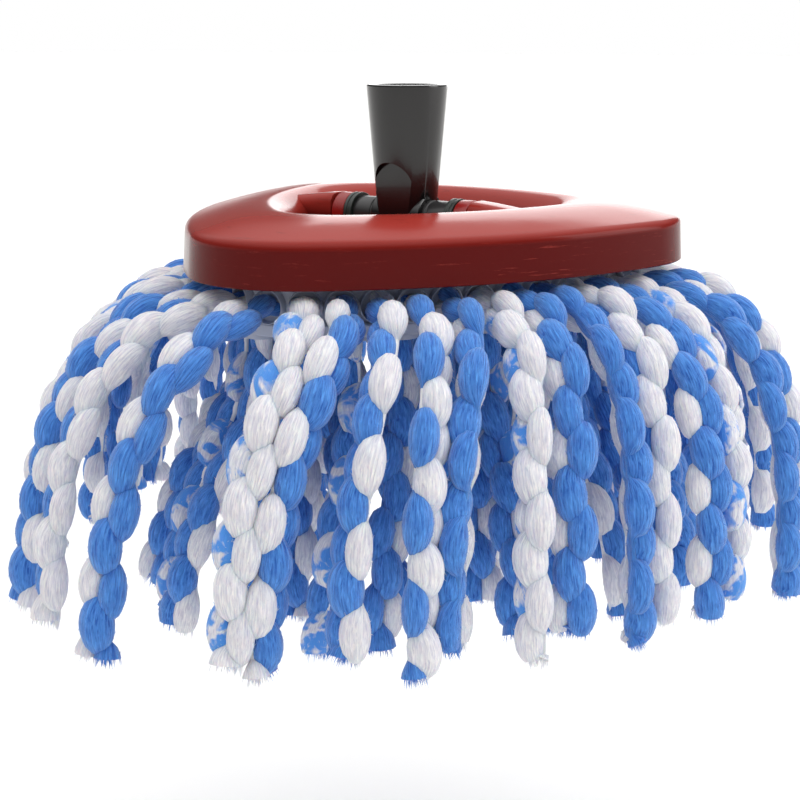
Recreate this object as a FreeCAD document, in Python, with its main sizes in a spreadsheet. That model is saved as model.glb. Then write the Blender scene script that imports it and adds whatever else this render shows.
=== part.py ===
import FreeCAD, Part
import Sketcher
import math
import os

# Head of a pedal-bucket spin mop: a black handle socket, a red three-cornered plate that tilts on
# a cross shaft, and a clip-on refill of three-ply popcorn yarn ropes.
# Frame: millimetres, origin at the centre of the socket's mouth, +Z up along the handle, +X along
# the hinge shaft.  The plate has corners at 30, 150 and 270 degrees.

doc = FreeCAD.newDocument("spin_mop_head")

# ---------------------------------------------------------------- driving dimensions
sheet = doc.addObject("Spreadsheet::Sheet", "sizes")
SIZES = [
    ("mouth_radius", 14.5), ("neck_radius", 10.5), ("hinge_drop", 47.0), ("mouth_round", 0.8),
    ("tube_bore_radius", 11.05), ("tube_bore_depth", 22.0),
    ("core_radius", 8.4), ("core_depth", 36.0),
    ("boss_radius", 8.6), ("boss_half_length", 10.4), ("flat_arch_height", 12.0),
    ("flat_arch_radius", 8.0),
    ("barrel_radius", 6.4), ("barrel_half_length", 20.0), ("journal_radius", 4.0),
    ("journal_chamfer", 0.4), ("collar_radius", 7.6), ("collar_width", 3.4), ("collar_round", 0.5),
    ("bearing_radius", 7.3), ("bearing_width", 5.4), ("bearing_foot_half", 13.0),
    ("bearing_foot_height", 2.6),
    ("running_fit", 0.05), ("side_gap", 0.3), ("ramp_gap", 0.8),
    ("corner_offset", 60.0), ("corner_radius", 38.0), ("side_radius", 190.0),
    ("skirt_height", 15.0), ("skirt_flare", 1.0), ("rim_round", 2.4), ("wall", 2.2),
    ("hinge_sink", 1.5), ("crown_height", 4.8), ("shoulder_height", 3.0), ("shoulder_inset", 12.0),
    ("dish_ratio", 0.66), ("floor_ratio", 0.42), ("dish_depth", 12.2),
    ("window_half_width", 12.0), ("ramp_half_width", 6.6),
    ("ramp_top", 7.2), ("ramp_tip_top", 4.6), ("ramp_round", 4.0),
    ("ramp_reach", 0.86), ("ramp_foot_reach", 0.8),
    ("screw_spacing", 20.0), ("screw_radius", 1.5), ("screw_fit", 0.1), ("screw_length", 4.4),
    ("screw_head_radius", 2.8), ("screw_head_height", 1.8),
    ("flange_inset", 4.2), ("flange_top", 7.0), ("flange_thickness", 2.4), ("ring_wall", 3.0),
    ("drum_inset", 17.0), ("drum_height", 19.2), ("drum_width", 20.0), ("post_radius", 4.0),
    ("tongue_width", 14.0), ("tongue_height", 4.4), ("tongue_thickness", 1.6), ("tongue_inset", 8.0),
    ("clamp_inset", 14.0), ("clamp_plate", 4.0), ("clamp_width", 23.0),
    ("clamp_screw_inset", 29.0), ("clamp_screw_length", 12.0), ("second_rope_inset", 20.0),
    ("rope_diameter", 11.0), ("inner_rope_inset", 31.2), ("top_rope_lift", 5.8),
    ("top_spread", 45.0), ("second_spread", 24.0),
]
for row, (alias, value) in enumerate(SIZES, start=1):
    sheet.set(f"A{row}", alias)
    sheet.set(f"B{row}", str(value))
    sheet.setAlias(f"B{row}", alias)
doc.recompute()


def size(alias):
    """The number in the sheet's cell of that name."""
    return float(sheet.get(alias))


HINGE_Z = "(0 - sizes.hinge_drop)"
RIM_Z = "(sizes.hinge_sink - sizes.hinge_drop)"
FLOOR_Z = f"({RIM_Z} + sizes.crown_height - sizes.dish_depth)"
hinge_z = -size("hinge_drop")
rim_z = hinge_z + size("hinge_sink")
floor_z = rim_z + size("crown_height") - size("dish_depth")


def bind(thing, **expressions):
    """Ties properties of an object to cells of the sheet."""
    for name, expression in expressions.items():
        thing.setExpression(name.replace("__", "."), expression)


def origin_plane(body, role):
    for feature in body.Origin.OriginFeatures:
        if feature.Role == role:
            return feature
    raise ValueError(role)


def new_body(name):
    body = doc.addObject("PartDesign::Body", name)
    body.Label = name
    return body


def sketch_on(body, name, role, height="0"):
    """A sketch on one of the body's own origin planes, moved along the plane's normal."""
    sketch = body.newObject("Sketcher::SketchObject", name)
    sketch.AttachmentSupport = [(origin_plane(body, role), "")]
    sketch.MapMode = "FlatFace"
    bind(sketch, AttachmentOffset__Base__z=height)
    return sketch


def lay_along_x(primitive, start, height):
    """Turns a body's own round primitive so that its axis runs along +X at a height."""
    primitive.AttachmentSupport = [(origin_plane(primitive.getParentGeoFeatureGroup(), "XY_Plane"), "")]
    primitive.MapMode = "FlatFace"
    primitive.AttachmentOffset = FreeCAD.Placement(
        FreeCAD.Vector(0, 0, 0), FreeCAD.Rotation(FreeCAD.Vector(0, 1, 0), 90))
    bind(primitive, AttachmentOffset__Base__x=start, AttachmentOffset__Base__z=height)


def polygon_sketch(sketch, points):
    """A closed outline whose corners are tied to the sheet: points are (x, y) expressions."""
    corners = [tuple(evaluate(part) for part in point) for point in points]
    count = len(corners)
    for i in range(count):
        ends = [FreeCAD.Vector(*corners[j % count], 0) for j in (i, i + 1)]
        sketch.addGeometry(Part.LineSegment(*ends), False)
    for i in range(count):
        sketch.addConstraint(Sketcher.Constraint("Coincident", i, 2, (i + 1) % count, 1))
    for i, (x, y) in enumerate(points):
        for kind, expression, value in (("DistanceX", x, corners[i][0]),
                                        ("DistanceY", y, corners[i][1])):
            if abs(value) < 1e-9:
                line = -2 if kind == "DistanceX" else -1
                sketch.addConstraint(Sketcher.Constraint("PointOnObject", i, 1, line))
                continue
            pair = (-1, 1, i, 1) if value > 0 else (i, 1, -1, 1)
            index = sketch.addConstraint(Sketcher.Constraint(kind, *pair, abs(value)))
            sign = "" if value > 0 else "-1 * "
            sketch.setExpression(f"Constraints[{index}]", f"{sign}({expression})")


def evaluate(expression):
    """The number that an expression on the sheet's cells gives."""
    return float(sheet.evalExpression(expression))


def rounded_outline(sketch, ratio="1", inset="0"):
    """The plate's outline: three corner arcs joined by three bowed sides, all tangent."""
    offset = f"(sizes.corner_offset * ({ratio}))"
    corner = f"((sizes.corner_radius * ({ratio})) - ({inset}))"
    side = f"((sizes.side_radius * ({ratio})) - ({inset}))"
    arcs = outline_arcs(evaluate(offset), evaluate(corner), evaluate(side))
    for centre, radius, start, end in arcs:
        circle = Part.Circle(FreeCAD.Vector(*centre, 0), FreeCAD.Vector(0, 0, 1), radius)
        sketch.addGeometry(Part.ArcOfCircle(circle, start, end), False)
    for i in range(6):
        sketch.addConstraint(Sketcher.Constraint("Tangent", i, 2, (i + 1) % 6, 1))
    for kind, first, expression in (("Radius", 0, corner), ("Radius", 1, side)):
        index = sketch.addConstraint(Sketcher.Constraint(kind, first, evaluate(expression)))
        sketch.setExpression(f"Constraints[{index}]", expression)
        sketch.addConstraint(Sketcher.Constraint("Equal", first, first + 2))
        sketch.addConstraint(Sketcher.Constraint("Equal", first, first + 4))
    across = f"{offset} * cos(30 deg)"
    up = f"{offset} * sin(30 deg)"
    for kind, pair, expression in (
            ("DistanceX", (-1, 1, 0, 3), across), ("DistanceY", (-1, 1, 0, 3), up),
            ("DistanceX", (2, 3, -1, 1), across), ("DistanceY", (-1, 1, 2, 3), up),
            ("DistanceY", (4, 3, -1, 1), offset)):
        index = sketch.addConstraint(Sketcher.Constraint(kind, *pair, evaluate(expression)))
        sketch.setExpression(f"Constraints[{index}]", expression)
    sketch.addConstraint(Sketcher.Constraint("PointOnObject", 4, 3, -2))


def outline_arcs(offset, corner, side):
    """Centre, radius, start and end angle of the six arcs, counter-clockwise from 30 degrees."""
    half_side = math.asin(offset * math.sin(math.pi / 3) / (side - corner))
    half_corner = math.pi / 3 - half_side
    reach = (side - corner) * math.cos(half_side) - offset / 2
    arcs = []
    for k in range(3):
        at = math.radians(30 + 120 * k)
        middle = at + math.pi / 3
        arcs.append(((offset * math.cos(at), offset * math.sin(at)), corner,
                     at - half_corner, at + half_corner))
        arcs.append(((-reach * math.cos(middle), -reach * math.sin(middle)), side,
                     middle - half_side, middle + half_side))
    return arcs


def outline_station(inset, fraction):
    """A point of the inset outline and its outward heading, by the share of the way round."""
    arcs = outline_arcs(size("corner_offset"), size("corner_radius") - inset,
                        size("side_radius") - inset)
    lengths = [radius * (end - start) for _, radius, start, end in arcs]
    way = (fraction % 1.0) * sum(lengths)
    for (centre, radius, start, end), length in zip(arcs, lengths):
        if way <= length:
            angle = start + way / radius
            return (centre[0] + radius * math.cos(angle), centre[1] + radius * math.sin(angle), angle)
        way -= length
    raise ValueError(fraction)


def outline_face(inset, z):
    """The inset outline as a flat face at a height."""
    arcs = outline_arcs(size("corner_offset"), size("corner_radius") - inset,
                        size("side_radius") - inset)
    edges = [Part.ArcOfCircle(Part.Circle(FreeCAD.Vector(*centre, z), FreeCAD.Vector(0, 0, 1), radius),
                              start, end).toShape() for centre, radius, start, end in arcs]
    return Part.Face(Part.Wire(edges))


def faceted_face(inset, z, count):
    """The inset outline with one flat side for each of count ropes."""
    stations = [outline_station(inset, (k + 0.5) / count) for k in range(count)]
    corners = []
    for (x1, y1, a1), (x2, y2, a2) in zip(stations, stations[1:] + stations[:1]):
        d1 = x1 * math.cos(a1) + y1 * math.sin(a1)
        d2 = x2 * math.cos(a2) + y2 * math.sin(a2)
        turn = math.sin(a2 - a1)
        corners.append(FreeCAD.Vector((d1 * math.sin(a2) - d2 * math.sin(a1)) / turn,
                                      (d2 * math.cos(a1) - d1 * math.cos(a2)) / turn, z))
    return Part.Face(Part.makePolygon(corners + corners[:1]))


def loft(body, kind, name, profile, sections):
    feature = body.newObject(f"PartDesign::{kind}", name)
    feature.Profile = profile
    feature.Sections = sections
    feature.Ruled = True
    return feature


def bodies_own_box(body, kind, name, half_x, half_y, low, height):
    """An additive or subtractive box centred on the body's Z axis."""
    box = body.newObject(f"PartDesign::{kind}", name)
    box.AttachmentSupport = [(origin_plane(body, "XY_Plane"), "")]
    box.MapMode = "FlatFace"
    bind(box, Length=f"2 * ({half_x})", Width=f"2 * ({half_y})", Height=height,
         AttachmentOffset__Base__x=f"-1 * ({half_x})", AttachmentOffset__Base__y=f"-1 * ({half_y})",
         AttachmentOffset__Base__z=low)
    return box


def upright(body, kind, name, x, y, low, radius, height):
    """An additive or subtractive cylinder along Z."""
    cylinder = body.newObject(f"PartDesign::{kind}", name)
    cylinder.AttachmentSupport = [(origin_plane(body, "XY_Plane"), "")]
    cylinder.MapMode = "FlatFace"
    bind(cylinder, Radius=radius, Height=height, AttachmentOffset__Base__x=x,
         AttachmentOffset__Base__y=y, AttachmentOffset__Base__z=low)
    return cylinder


def edges_where(shape, test):
    """Names of the edges whose bounding box passes a test."""
    return [f"Edge{i}" for i, edge in enumerate(shape.Edges, start=1) if test(edge.BoundBox)]


# ---------------------------------------------------------------- handle socket
# Glass-filled plastic T-piece: a tapered cup for the 22 mm handle tube, cored out below the tube's
# seat, with a cross boss for the hinge shaft and two arched flats where it stands between the
# plate's window edges.
def make_handle_socket():
    body = new_body("handle_socket")
    profile = sketch_on(body, "socket_profile", "XZ_Plane")
    polygon_sketch(profile, [("0", HINGE_Z), ("sizes.neck_radius", HINGE_Z),
                             ("sizes.mouth_radius", "0 * sizes.hinge_drop"),
                             ("0", "0 * sizes.hinge_drop")])
    turned = body.newObject("PartDesign::Revolution", "socket_cone")
    turned.Profile = profile
    turned.ReferenceAxis = (profile, ["V_Axis"])
    turned.Angle = 360
    boss = body.newObject("PartDesign::AdditiveCylinder", "cross_boss")
    bind(boss, Radius="sizes.boss_radius", Height="2 * sizes.boss_half_length")
    lay_along_x(boss, "-1 * sizes.boss_half_length", HINGE_Z)
    for name, side in (("front_flat", -1), ("back_flat", 1)):
        outline = sketch_on(body, name + "_outline", "XZ_Plane", f"{-side} * sizes.boss_radius")
        arch = Part.Circle(FreeCAD.Vector(0, hinge_z + size("flat_arch_height"), 0),
                           FreeCAD.Vector(0, 0, 1), size("flat_arch_radius"))
        outline.addGeometry(arch, False)
        outline.addConstraint(Sketcher.Constraint("PointOnObject", 0, 3, -2))
        drop = outline.addConstraint(Sketcher.Constraint("DistanceY", 0, 3, -1, 1, -arch.Center.y))
        outline.setExpression(f"Constraints[{drop}]", "sizes.hinge_drop - sizes.flat_arch_height")
        radius = outline.addConstraint(Sketcher.Constraint("Radius", 0, size("flat_arch_radius")))
        outline.setExpression(f"Constraints[{radius}]", "sizes.flat_arch_radius")
        flat = body.newObject("PartDesign::Pocket", name)
        flat.Profile = outline
        flat.Reversed = side > 0
        bind(flat, Length="sizes.mouth_radius")
        legs = body.newObject("PartDesign::SubtractiveBox", name + "_legs")
        legs.AttachmentSupport = [(origin_plane(body, "XY_Plane"), "")]
        legs.MapMode = "FlatFace"
        start = "sizes.boss_radius" if side > 0 else "-1 * (sizes.boss_radius + sizes.mouth_radius)"
        bind(legs, Length="2 * sizes.flat_arch_radius", Width="sizes.mouth_radius",
             Height="sizes.flat_arch_height + sizes.boss_radius",
             AttachmentOffset__Base__x="-1 * sizes.flat_arch_radius", AttachmentOffset__Base__y=start,
             AttachmentOffset__Base__z=f"{HINGE_Z} - sizes.boss_radius")
    upright(body, "SubtractiveCylinder", "tube_bore", "0", "0", "-1 * sizes.tube_bore_depth",
            "sizes.tube_bore_radius", "sizes.tube_bore_depth")
    upright(body, "SubtractiveCylinder", "core", "0", "0", "-1 * sizes.core_depth",
            "sizes.core_radius", "sizes.core_depth")
    bore = body.newObject("PartDesign::SubtractiveCylinder", "shaft_bore")
    bind(bore, Radius="sizes.barrel_radius + sizes.running_fit",
         Height="4 * sizes.boss_half_length")
    lay_along_x(bore, "-2 * sizes.boss_half_length", HINGE_Z)
    doc.recompute()
    mouth = body.newObject("PartDesign::Fillet", "mouth_edges")
    mouth.Base = (bore, edges_where(bore.Shape, lambda box: abs(box.ZMin) < 1e-6 and
                                    abs(box.ZMax) < 1e-6 and
                                    box.XLength > 2 * size("tube_bore_radius") + 1))
    bind(mouth, Radius="sizes.mouth_round")
    return body


# ---------------------------------------------------------------- cross shaft and collars
# The shaft is pressed through the socket's boss: a thick barrel with a journal at each end, and a
# loose collar on each journal that keeps the plate centred.
def make_hinge_shaft():
    body = new_body("hinge_shaft")
    barrel = body.newObject("PartDesign::AdditiveCylinder", "barrel")
    bind(barrel, Radius="sizes.barrel_radius", Height="2 * sizes.barrel_half_length")
    lay_along_x(barrel, "-1 * sizes.barrel_half_length", HINGE_Z)
    journal = body.newObject("PartDesign::AdditiveCylinder", "journals")
    bind(journal, Radius="sizes.journal_radius", Height=f"2 * {JOURNAL_END}")
    lay_along_x(journal, f"-1 * {JOURNAL_END}", HINGE_Z)
    doc.recompute()
    ends = body.newObject("PartDesign::Chamfer", "journal_ends")
    tips = edges_where(journal.Shape, lambda box: abs(abs(box.XMin) - evaluate(JOURNAL_END)) < 1e-6
                       and box.XLength < 1e-6)
    ends.Base = (journal, tips)
    bind(ends, Size="sizes.journal_chamfer")
    return body


COLLAR_START = "sizes.barrel_half_length"
BEARING_START = "(sizes.barrel_half_length + sizes.collar_width + sizes.side_gap)"
JOURNAL_END = f"({BEARING_START} + sizes.bearing_width)"


def x_cylinder(name, radius, start, length):
    """A plain cylinder of the document along +X at the hinge's height."""
    cylinder = doc.addObject("Part::Cylinder", name)
    cylinder.Placement = FreeCAD.Placement(FreeCAD.Vector(0, 0, 0),
                                           FreeCAD.Rotation(FreeCAD.Vector(0, 1, 0), 90))
    bind(cylinder, Radius=radius, Height=length, Placement__Base__x=start, Placement__Base__z=HINGE_Z)
    return cylinder


def cut(name, base, tool):
    result = doc.addObject("Part::Cut", name)
    result.Base = base
    result.Tool = tool
    result.Label = name
    return result


def fuse(name, pieces):
    result = doc.addObject("Part::MultiFuse", name)
    result.Shapes = pieces
    result.Label = name
    return result


def mirrored_start(side, start, length):
    """Where a piece of some length starts on the right side, or on the left one."""
    return start if side > 0 else f"-1 * ({start} + {length})"


def make_collar(name, side):
    start = mirrored_start(side, COLLAR_START, "sizes.collar_width")
    ring = x_cylinder(name + "_ring", "sizes.collar_radius", start, "sizes.collar_width")
    eye = x_cylinder(name + "_eye", "sizes.journal_radius + sizes.running_fit", start,
                     "sizes.collar_width")
    rounded = doc.addObject("Part::Fillet", name + "_round")
    rounded.Base = ring
    doc.recompute()
    radius = size("collar_round")
    rounded.Edges = [(i, radius, radius) for i, edge in enumerate(ring.Shape.Edges, start=1)
                     if edge.BoundBox.XLength < 1e-6]
    return cut(name, rounded, eye)


# ---------------------------------------------------------------- hinge bearings
# Red moulded blocks that carry the journals; each has a foot held to the dish floor from below.
def make_bearing(name, side):
    start = mirrored_start(side, BEARING_START, "sizes.bearing_width")
    hub = x_cylinder(name + "_hub", "sizes.bearing_radius", start, "sizes.bearing_width")
    web = doc.addObject("Part::Box", name + "_web")
    bind(web, Length="sizes.bearing_width", Width="2 * sizes.bearing_radius",
         Height=f"{HINGE_Z} - {FLOOR_Z}", Placement__Base__x=start,
         Placement__Base__y="-1 * sizes.bearing_radius", Placement__Base__z=FLOOR_Z)
    foot = doc.addObject("Part::Box", name + "_foot")
    bind(foot, Length="sizes.bearing_width", Width="2 * sizes.bearing_foot_half",
         Height="sizes.bearing_foot_height", Placement__Base__x=start,
         Placement__Base__y="-1 * sizes.bearing_foot_half", Placement__Base__z=FLOOR_Z)
    below = doc.addObject("Part::Box", name + "_below")
    bind(below, Length="sizes.bearing_width", Width="2 * sizes.bearing_radius",
         Height="sizes.bearing_radius", Placement__Base__x=start,
         Placement__Base__y="-1 * sizes.bearing_radius",
         Placement__Base__z=f"{FLOOR_Z} - sizes.bearing_radius")
    eye = x_cylinder(name + "_eye", "sizes.journal_radius + sizes.running_fit", start,
                     "sizes.bearing_width")
    holes = [eye, below]
    for turn in (-1, 1):
        hole = doc.addObject("Part::Cylinder", f"{name}_screw_hole_{turn + 1}")
        bind(hole, Radius="sizes.screw_radius + sizes.screw_fit", Height="sizes.bearing_foot_height",
             Placement__Base__x=f"{start} + sizes.bearing_width / 2",
             Placement__Base__y=f"{turn} * sizes.screw_spacing / 2", Placement__Base__z=FLOOR_Z)
        holes.append(hole)
    return cut(name, fuse(name + "_blank", [hub, web, foot]), fuse(name + "_holes", holes))


BEARING_MIDDLE = f"({BEARING_START} + sizes.bearing_width / 2)"


def screw_places():
    return [(f"{side} * {BEARING_MIDDLE}", f"{turn} * sizes.screw_spacing / 2")
            for side in (-1, 1) for turn in (-1, 1)]


# Four pan-head screws, entered from under the dish floor.
def make_bearing_screws():
    screws = []
    under = f"({FLOOR_Z} - sizes.wall)"
    for i, (x, y) in enumerate(screw_places(), start=1):
        shank = doc.addObject("Part::Cylinder", f"screw_{i}_shank")
        bind(shank, Radius="sizes.screw_radius", Height="sizes.screw_length", Placement__Base__x=x,
             Placement__Base__y=y, Placement__Base__z=under)
        head = doc.addObject("Part::Cylinder", f"screw_{i}_head")
        bind(head, Radius="sizes.screw_head_radius", Height="sizes.screw_head_height",
             Placement__Base__x=x, Placement__Base__y=y,
             Placement__Base__z=f"{under} - sizes.screw_head_height")
        screws.append(fuse(f"screw_{i}", [shank, head]))
    group = doc.addObject("Part::Compound", "bearing_screws")
    group.Links = screws
    group.Label = "bearing_screws"
    return group


# ---------------------------------------------------------------- top plate
# Red injection-moulded shell: flared skirt, crowned top, a central dish that holds the bearings, a
# window for the socket's boss, and a fairing outside each bearing.
def make_top_plate():
    body = new_body("top_plate")

    def outline(name, height, ratio="1", inset="0"):
        sketch = sketch_on(body, name, "XY_Plane", height)
        rounded_outline(sketch, ratio, inset)
        return sketch

    low = f"({RIM_Z} - sizes.skirt_height)"
    foot_line = outline("skirt_foot", low, inset="0 - sizes.skirt_flare")
    loft(body, "AdditiveLoft", "skirt", foot_line, [outline("skirt_rim", RIM_Z)])
    shoulder_z = f"({RIM_Z} + sizes.shoulder_height)"
    loft(body, "AdditiveLoft", "shoulder", outline("rim_line", RIM_Z),
         [outline("shoulder_line", shoulder_z, inset="sizes.shoulder_inset")])
    crown_z = f"({RIM_Z} + sizes.crown_height)"
    loft(body, "AdditiveLoft", "crown",
         outline("crown_foot", shoulder_z, inset="sizes.shoulder_inset"),
         [outline("crown_line", crown_z, "sizes.dish_ratio")])
    doc.recompute()
    rim = evaluate(RIM_Z)
    rounding = body.newObject("PartDesign::Fillet", "rim_rounding")
    base = doc.getObject("crown")
    rounding.Base = (base, edges_where(base.Shape, lambda box: abs(box.ZMin - rim) < 1e-6
                                       and abs(box.ZMax - rim) < 1e-6))
    bind(rounding, Radius="sizes.rim_round")
    doc.recompute()
    loft(body, "SubtractiveLoft", "skirt_hollow",
         outline("hollow_foot", low, inset="sizes.wall - sizes.skirt_flare"),
         [outline("hollow_rim", f"{RIM_Z} - sizes.wall", inset="sizes.wall")])
    loft(body, "SubtractiveLoft", "crown_hollow",
         outline("hollow_ceiling_foot", f"{RIM_Z} - sizes.wall", inset="sizes.wall"),
         [outline("hollow_ceiling", f"{shoulder_z} - sizes.wall", inset="sizes.shoulder_inset")])
    loft(body, "AdditiveLoft", "bowl",
         outline("bowl_foot", f"{FLOOR_Z} - sizes.wall", "sizes.floor_ratio", "0 - sizes.wall"),
         [outline("bowl_top", shoulder_z, "sizes.dish_ratio", "0 - sizes.wall")])
    loft(body, "SubtractiveLoft", "dish",
         outline("dish_floor", FLOOR_Z, "sizes.floor_ratio"),
         [outline("dish_edge", crown_z, "sizes.dish_ratio")])
    bodies_own_box(body, "SubtractiveBox", "window", f"({BEARING_START} - sizes.side_gap / 2)",
                   "sizes.window_half_width", f"{FLOOR_Z} - 2 * sizes.wall", "4 * sizes.wall")
    for i, (x, y) in enumerate(screw_places(), start=1):
        upright(body, "SubtractiveCylinder", f"screw_hole_{i}", x, y, f"{FLOOR_Z} - 2 * sizes.wall",
                "sizes.screw_radius + sizes.screw_fit", "3 * sizes.wall")
    ramp_start = f"({BEARING_START} + sizes.bearing_width + sizes.ramp_gap)"
    across = "sizes.corner_offset * cos(30 deg)"
    dish_reach = f"(sizes.dish_ratio * ({across} + sizes.corner_radius * sizes.ramp_reach))"
    floor_reach = f"(sizes.floor_ratio * ({across} + sizes.corner_radius * sizes.ramp_foot_reach))"
    near = evaluate(ramp_start)
    far = evaluate(dish_reach)
    half = size("ramp_half_width")
    tip = evaluate(f"{HINGE_Z} + sizes.ramp_tip_top")

    def is_crest(side, box):
        """Whether an edge is one of the two that run along the top of a side's fairing."""
        ends = (side * box.XMin, side * box.XMax)
        inside = near - half < min(ends) and max(ends) < far + half
        level = box.YLength < 1e-3 and abs(abs(box.YMin) - half) < 1e-3
        return inside and level and box.XLength > (far - near) / 2 and box.ZMin > tip - half / 2

    for name, side in (("left_fairing", -1), ("right_fairing", 1)):
        profile = sketch_on(body, name + "_profile", "XZ_Plane", "-1 * sizes.ramp_half_width")
        polygon_sketch(profile, [
            (f"{side} * {ramp_start}", f"{FLOOR_Z} - sizes.wall / 2"),
            (f"{side} * {floor_reach}", f"{FLOOR_Z} - sizes.wall / 2"),
            (f"{side} * {dish_reach}", f"{crown_z} - sizes.wall"),
            (f"{side} * ({dish_reach} - sizes.wall)", f"{HINGE_Z} + sizes.ramp_tip_top"),
            (f"{side} * {ramp_start}", f"{HINGE_Z} + sizes.ramp_top")])
        pad = body.newObject("PartDesign::Pad", name)
        pad.Profile = profile
        bind(pad, Length="2 * sizes.ramp_half_width")
        doc.recompute()
        crest = body.newObject("PartDesign::Fillet", name + "_crest")
        crest.Base = (pad, edges_where(pad.Shape, lambda box: is_crest(side, box)))
        bind(crest, Radius="sizes.ramp_round")
        doc.recompute()
    return body


# ---------------------------------------------------------------- refill: ring, clamp ring, screws
# The refill clips up into the plate: a flanged ring whose outer wall has one flat for each rope of
# the top row, closed from below by a flat clamp ring that the second and inner rows hang from.
TOP_ROPES = 39
SECOND_ROPES = 27
INNER_PLACES = 24
SCREW_EVERY = 4
CLAMP_SCREWS = INNER_PLACES // SCREW_EVERY
ring_top = rim_z - size("flange_top")
drum_top = ring_top - size("flange_thickness")
clamp_top = drum_top - size("drum_height")
clamp_foot = clamp_top - size("clamp_plate")


def shape_node(name, shape):
    """A node whose shape is worked out here from the sheet's sizes."""
    node = doc.addObject("Part::Feature", name)
    node.Shape = shape
    node.Label = name
    return node


def upward(face, height):
    return face.extrude(FreeCAD.Vector(0, 0, height))


def wall_between(inset, thickness, low, height, count=None):
    """A wall that follows the outline; with a count its outside has that many flats."""
    outside = faceted_face(inset, low, count) if count else outline_face(inset, low)
    return upward(outside, height).cut(upward(outline_face(inset + thickness, low), height))


def clamp_screw_places():
    """Every fourth place round the inner row holds a screw instead of a rope."""
    return [outline_station(size("clamp_screw_inset"), (k + 0.5) / INNER_PLACES)
            for k in range(SCREW_EVERY - 1, INNER_PLACES, SCREW_EVERY)]


def screw_tool(x, y, low, height, radius):
    return Part.makeCylinder(radius, height, FreeCAD.Vector(x, y, low))


def make_refill_ring():
    wall = size("ring_wall")
    inner_inset = size("drum_inset") + size("drum_width") - wall
    flange = wall_between(size("flange_inset"), inner_inset + wall - size("flange_inset"), drum_top,
                          size("flange_thickness"))
    outer = wall_between(size("drum_inset"), wall, clamp_top, size("drum_height"), TOP_ROPES)
    inner = wall_between(inner_inset, wall, clamp_top, size("drum_height"))
    extras = [outer, inner]
    for k in range(3):
        x, y, heading = outline_station(size("tongue_inset"), k / 3)
        tongue = Part.makeBox(size("tongue_thickness"), size("tongue_width"), size("tongue_height"),
                              FreeCAD.Vector(0, -size("tongue_width") / 2, ring_top))
        tongue.rotate(FreeCAD.Vector(), FreeCAD.Vector(0, 0, 1), math.degrees(heading))
        tongue.translate(FreeCAD.Vector(x, y, 0))
        extras.append(tongue)
    bores = []
    for x, y, _ in clamp_screw_places():
        extras.append(screw_tool(x, y, clamp_top, size("drum_height"), size("post_radius")))
        bores.append(screw_tool(x, y, clamp_top, size("clamp_screw_length"),
                                size("screw_radius") + size("screw_fit")))
    return shape_node("refill_ring", flange.fuse(extras).cut(bores).removeSplitter())


def make_clamp_ring():
    plate = wall_between(size("clamp_inset"), size("clamp_width"), clamp_foot, size("clamp_plate"))
    bores = [screw_tool(x, y, clamp_foot, size("clamp_plate"), size("screw_radius") + size("screw_fit"))
             for x, y, _ in clamp_screw_places()]
    return shape_node("clamp_ring", plate.cut(bores))


def make_clamp_screws():
    screws = []
    for x, y, _ in clamp_screw_places():
        shank = screw_tool(x, y, clamp_foot, size("clamp_screw_length"), size("screw_radius"))
        head = screw_tool(x, y, clamp_foot - size("screw_head_height"),
                          size("screw_head_height"), size("screw_head_radius"))
        screws.append(head.fuse(shank))
    return shape_node("clamp_screws", Part.Compound(screws))


# ---------------------------------------------------------------- ropes
# Each rope is limp three-ply popcorn yarn, held at one end and hanging free.  A route starts square
# to its flat on the ring, passes under the skirt, fans out towards its share of a wider outline and
# bends down in runs: each run has a length and a pitch below the horizontal; droop steepens the
# lower runs of a rope and lean swings them sideways, both in degrees and chosen rope by rope.
TOP_RUNS = [(19, 0), (20, 18), (21, 37), (26, 57), (30, 70)]
TOP_END_PITCH = 77
TOP_ENDS = [26, 30, 24, 28, 23, 30, 25, 27, 28, 24, 30, 26, 22, 29, 25, 30, 24, 27, 30, 25,
            29, 25, 30, 27, 24, 28, 22, 26, 20, 25, 18, 24, 17, 22, 16, 23, 18, 21, 17]
TOP_DROOP = [13, 12, 11, 10, 11, 10, 11, 12, 9, 11, 8, 10, 7, 9, 7, 8, 6, 7, 5, 6,
             7, 4, 6, 5, 7, 6, 8, 7, 9, 8, 10, 11, 12, 12, 14, 13, 15, 14, 15]
TOP_LEAN = [2, -1, 2, -2, 1, 0, -2, 2, -1, 3, -2, 1, -1, 3, -2, 1, -1, 1, -1, 0,
            -1, 3, -1, 2, -2, 1, 2, -1, 3, -3, 0, 2, -3, 2, -1, 3, -2, 1, -2]
SECOND_RUNS = [(18, 90), (18, 68), (22, 57), (24, 68), (23, 80)]
SECOND_DROOP = [3, -2, 2, 0, 3, -3, 1, 3, -1, 2, -3, 3, 0, -2, 3, 1, -3, 2, 0, 3, -2, 1, 3, -3, 2, 0, -1]
SECOND_LEAN = [3, -4, 2, 4, -3, 1, -4, 3, -2, 4, -1, 1, -1, 2, 3, -3, 1, 4, -2, -4, 3, 0, -3, 4, -2, 3, -4]
INNER_RUNS_OUT = [(32, 90), (34, 79), (32, 84)]
INNER_RUNS_IN = [(32, 90), (34, 103), (31, 96)]


def route_of(x, y, z, heading, runs, spread=None, droop=0, lean=0):
    """The points of a rope's route: spread is the point that its lower runs head for in plan."""
    points = [FreeCAD.Vector(x, y, z)]
    aim = math.atan2(spread[1] - y, spread[0] - x) if spread else heading
    fan = math.remainder(aim - heading, 2 * math.pi)
    for i, (length, pitch) in enumerate(runs):
        fall = math.radians(pitch + droop * min(i, 2) / 2)
        swing = heading + fan * min(i, 3) / 3 + math.radians(lean * i)
        step = FreeCAD.Vector(math.cos(fall) * math.cos(swing), math.cos(fall) * math.sin(swing),
                              -math.sin(fall))
        points.append(points[-1] + step * length)
    return points


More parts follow.
